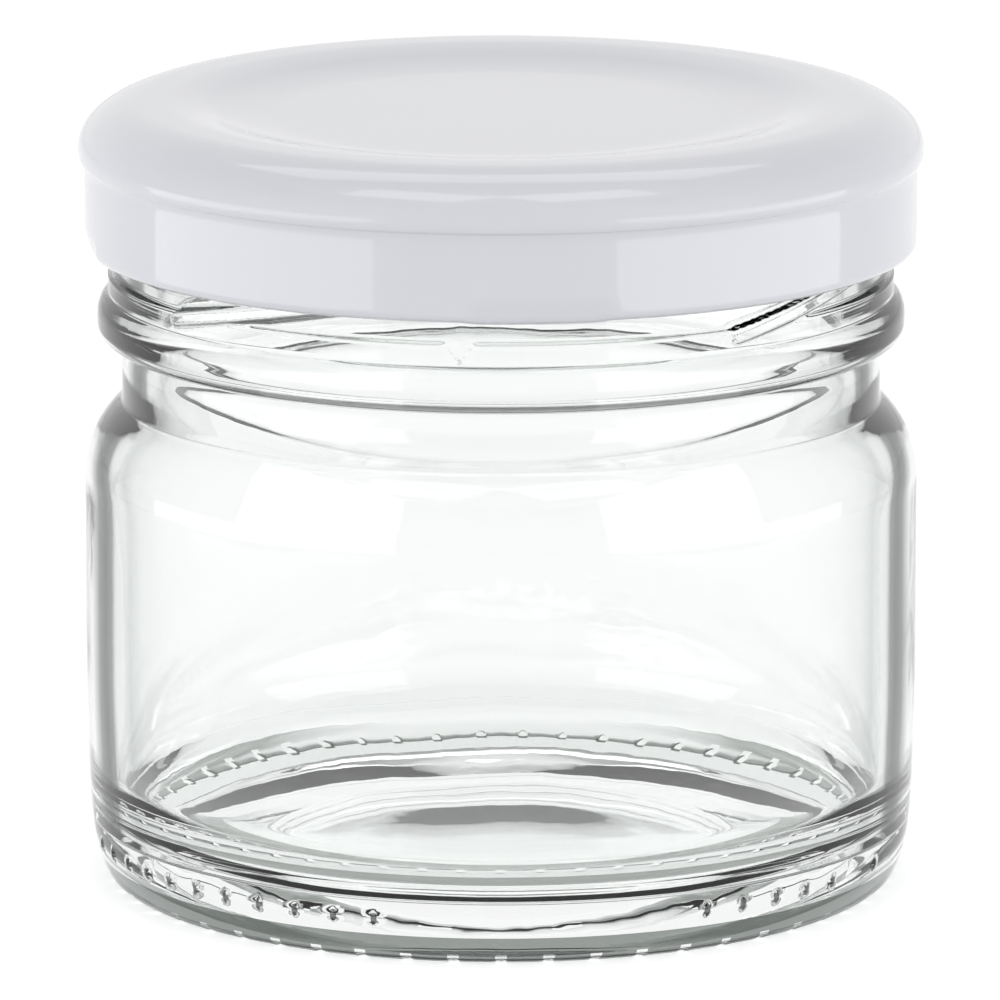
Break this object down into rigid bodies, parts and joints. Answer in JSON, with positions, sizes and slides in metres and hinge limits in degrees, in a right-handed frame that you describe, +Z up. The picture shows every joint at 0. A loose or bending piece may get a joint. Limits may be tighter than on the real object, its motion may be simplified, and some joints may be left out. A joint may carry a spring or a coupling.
{
  "type": "twist-off glass jar",
  "caption": "Squat clear glass jar for preserves, shut with a white enamelled steel twist-off lid; empty.",
  "frame": {"origin": "centre of the base, on the plane that the jar stands on", "axes": "+Z up along the jar's axis, -Y towards the front, the side that shows two thread ends under the lid"},
  "size_m": [0.0508, 0.0508, 0.0474],
  "materials": {
    "jar_glass": "clear polished soda-lime glass",
    "lid": "gloss white enamel on pressed steel",
    "lid_seal": "satin off-white sealing compound"
  },
  "bodies": {
    "root": {"jar_glass": "jar_glass", "lid": "lid", "lid_seal": "lid_seal"}
  },
  "joints": []
}
